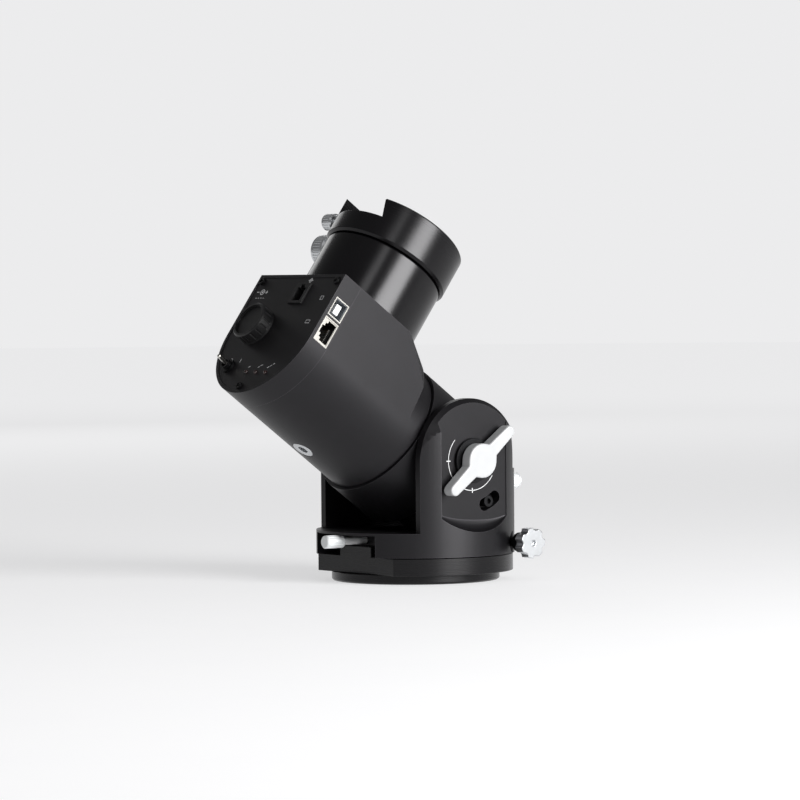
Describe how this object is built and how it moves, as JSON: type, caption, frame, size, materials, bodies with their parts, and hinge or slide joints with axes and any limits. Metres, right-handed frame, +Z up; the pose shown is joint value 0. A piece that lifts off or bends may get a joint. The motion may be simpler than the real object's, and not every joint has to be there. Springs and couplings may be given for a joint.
{
  "type": "equatorial telescope mount",
  "caption": "Compact equatorial mount head: tilting polar unit in a round fork, D-shaped turning housing with a front panel, and a drum with a dovetail saddle.",
  "frame": {"origin": "centre of the underside of the pier adapter, on the azimuth axis", "axes": "+Z up along the azimuth axis, -X towards the pole, +Y towards the east along the tilt axis"},
  "size_m": [0.2073, 0.127, 0.2244],
  "materials": {
    "black_anodised": "fine bead-blasted black anodising",
    "bright_aluminium": "turned and clear anodised",
    "bare_steel": "ground",
    "dark_steel": "black oxide",
    "bronze": "machined",
    "black_plastic": "moulded",
    "panel_black": "textured powder coat",
    "board_green": "solder resist",
    "red_plastic": "clear tinted"
  },
  "bodies": {
    "base": {"pier_adapter": "black_anodised", "base_screws": "dark_steel", "base_plate": "black_anodised", "azimuth_post": "bare_steel", "azimuth_washer": "bronze", "azimuth_retainer": "bare_steel"},
    "fork": {"fork": "black_anodised"},
    "az_screw_west": {"azimuth_screw_west": "dark_steel"},
    "az_screw_east": {"azimuth_screw_east": "dark_steel"},
    "az_knob_west": {"azimuth_knob_west": "bright_aluminium"},
    "az_knob_east": {"azimuth_knob_east": "bright_aluminium"},
    "altitude_drive": {"altitude_knob": "bright_aluminium", "altitude_screw": "bare_steel"},
    "altitude_nut": {"altitude_nut": "bronze"},
    "stop_knob": {"tilt_stop_knob": "bright_aluminium"},
    "polar_unit": {"ra_housing": "black_anodised", "ra_tail_cap": "black_anodised", "tilt_arm": "dark_steel", "tilt_pins": "bare_steel", "lever_studs": "dark_steel", "slot_bolts": "dark_steel", "ra_motor": "dark_steel", "ra_circular_spline": "dark_steel", "ra_bearing_outer": "bare_steel"},
    "lever_west": {"tilt_lever_west": "bright_aluminium"},
    "lever_east": {"tilt_lever_east": "bright_aluminium"},
    "ra_wave": {"ra_wave_generator": "bare_steel"},
    "ra_balls": {"ra_bearing_balls": "bare_steel"},
    "dec_unit": {"dec_housing": "black_anodised", "ra_bearing_inner": "bare_steel", "ra_flexspline": "bare_steel", "ra_output_flange": "black_anodised", "port_ring": "black_anodised", "control_panel": "panel_black", "panel_screws": "dark_steel", "power_socket": "black_plastic", "guide_socket": "black_plastic", "data_socket": "bare_steel", "network_socket": "bare_steel", "power_switch": "bare_steel", "status_lights": "red_plastic", "main_board": "board_green", "counterweight_plug": "bright_aluminium", "dec_drum": "black_anodised", "dec_motor": "dark_steel", "dec_circular_spline": "dark_steel", "dec_bearing_outer": "bare_steel"},
    "power_cap": {"power_cap": "black_plastic"},
    "switch_lever": {"switch_lever": "bright_aluminium"},
    "dec_wave": {"dec_wave_generator": "bare_steel"},
    "dec_balls": {"dec_bearing_balls": "bare_steel"},
    "saddle": {"saddle": "black_anodised", "saddle_screws": "dark_steel", "dec_bearing_inner": "bare_steel", "dec_flexspline": "bare_steel", "dec_output_flange": "black_anodised"},
    "saddle_jaw": {"saddle_jaw": "black_anodised"},
    "clamp_knob": {"clamp_knob": "bright_aluminium"},
    "safety_knob": {"safety_knob": "bright_aluminium"}
  },
  "joints": [
    {"name": "azimuth_turn", "type": "hinge", "parent": "base", "child": "fork", "pos_m": [0, 0, 0], "axis": [0, 0, 1], "range_deg": [-6, 6]},
    {"name": "az_screw_west_slide", "type": "slide", "parent": "fork", "child": "az_screw_west", "axis": [0, 1, 0], "range_m": [-0.0042, 0.0042]},
    {"name": "az_screw_east_slide", "type": "slide", "parent": "fork", "child": "az_screw_east", "axis": [0, 1, 0], "range_m": [-0.0042, 0.0042]},
    {"name": "az_knob_west_turn", "type": "hinge", "parent": "az_screw_west", "child": "az_knob_west", "pos_m": [0.038, -0.055, 0.0223], "axis": [0, 1, 0], "continuous": true},
    {"name": "az_knob_east_turn", "type": "hinge", "parent": "az_screw_east", "child": "az_knob_east", "pos_m": [0.038, 0.055, 0.0223], "axis": [0, 1, 0], "continuous": true},
    {"name": "latitude_tilt", "type": "hinge", "parent": "fork", "child": "polar_unit", "pos_m": [0.0025, 0, 0.0715], "axis": [0, 1, 0], "range_deg": [-9, 9]},
    {"name": "altitude_knob_turn", "type": "hinge", "parent": "fork", "child": "altitude_drive", "pos_m": [-0.05, 0, 0.0246], "axis": [1, 0, 0], "continuous": true},
    {"name": "altitude_nut_slide", "type": "slide", "parent": "fork", "child": "altitude_nut", "axis": [1, 0, 0], "range_m": [-0.0077, 0.0077]},
    {"name": "stop_knob_turn", "type": "hinge", "parent": "fork", "child": "stop_knob", "pos_m": [0.06, 0, 0.0555], "axis": [1, 0, 0], "range_deg": [0, 720]},
    {"name": "lever_west_turn", "type": "hinge", "parent": "polar_unit", "child": "lever_west", "pos_m": [0.0025, 0, 0.0715], "axis": [0, -1, 0], "range_deg": [-15, 90]},
    {"name": "lever_east_turn", "type": "hinge", "parent": "polar_unit", "child": "lever_east", "pos_m": [0.0025, 0, 0.0715], "axis": [0, 1, 0], "range_deg": [-15, 90]},
    {"name": "ra_turn", "type": "hinge", "parent": "polar_unit", "child": "dec_unit", "pos_m": [-0.03162, 0, 0.09258], "axis": [-0.809, 0, 0.5878], "continuous": true},
    {"name": "ra_wave_turn", "type": "hinge", "parent": "polar_unit", "child": "ra_wave", "pos_m": [-0.00735, 0, 0.07495], "axis": [-0.809, 0, 0.5878], "continuous": true},
    {"name": "ra_balls_turn", "type": "hinge", "parent": "polar_unit", "child": "ra_balls", "pos_m": [-0.01787, 0, 0.08259], "axis": [-0.809, 0, 0.5878], "continuous": true},
    {"name": "dec_turn", "type": "hinge", "parent": "dec_unit", "child": "saddle", "pos_m": [-0.06884, 0, 0.11962], "axis": [0.5878, 0, 0.809], "continuous": true},
    {"name": "dec_wave_turn", "type": "hinge", "parent": "dec_unit", "child": "dec_wave", "pos_m": [-0.06884, 0, 0.11962], "axis": [0.5878, 0, 0.809], "continuous": true},
    {"name": "dec_balls_turn", "type": "hinge", "parent": "dec_unit", "child": "dec_balls", "pos_m": [-0.06884, 0, 0.11962], "axis": [0.5878, 0, 0.809], "continuous": true},
    {"name": "power_cap_pull", "type": "slide", "parent": "dec_unit", "child": "power_cap", "axis": [-0.809, 0, 0.5878], "range_m": [0, 0.015]},
    {"name": "power_switch_flip", "type": "hinge", "parent": "dec_unit", "child": "switch_lever", "pos_m": [-0.11852, 0.021, 0.12729], "axis": [0.5878, 0, 0.809], "range_deg": [-26, 0]},
    {"name": "jaw_slide", "type": "slide", "parent": "saddle", "child": "saddle_jaw", "axis": [0, 1, 0], "range_m": [0, 0.003]},
    {"name": "clamp_knob_turn", "type": "hinge", "parent": "saddle_jaw", "child": "clamp_knob", "pos_m": [-0.01964, 0.05, 0.19414], "axis": [0, 1, 0], "continuous": true},
    {"name": "safety_knob_turn", "type": "hinge", "parent": "saddle_jaw", "child": "safety_knob", "pos_m": [-0.02616, 0.04, 0.21111], "axis": [0, 1, 0], "range_deg": [0, 720]}
  ],
  "couplings": [
    {"joint": "az_screw_west_slide", "follows": "azimuth_turn", "m_per_rad": -0.038},
    {"joint": "az_screw_east_slide", "follows": "azimuth_turn", "m_per_rad": -0.038},
    {"joint": "az_knob_west_turn", "follows": "azimuth_turn", "ratio": -238.76},
    {"joint": "az_knob_east_turn", "follows": "azimuth_turn", "ratio": -238.76},
    {"joint": "altitude_nut_slide", "follows": "latitude_tilt", "m_per_rad": -0.0469},
    {"joint": "altitude_knob_turn", "follows": "latitude_tilt", "ratio": 294.68},
    {"joint": "ra_wave_turn", "follows": "ra_turn", "ratio": -100},
    {"joint": "ra_balls_turn", "follows": "ra_turn", "ratio": 0.5},
    {"joint": "dec_wave_turn", "follows": "dec_turn", "ratio": -100},
    {"joint": "dec_balls_turn", "follows": "dec_turn", "ratio": 0.5},
    {"joint": "clamp_knob_turn", "follows": "jaw_slide", "rad_per_m": 5026.5}
  ]
}
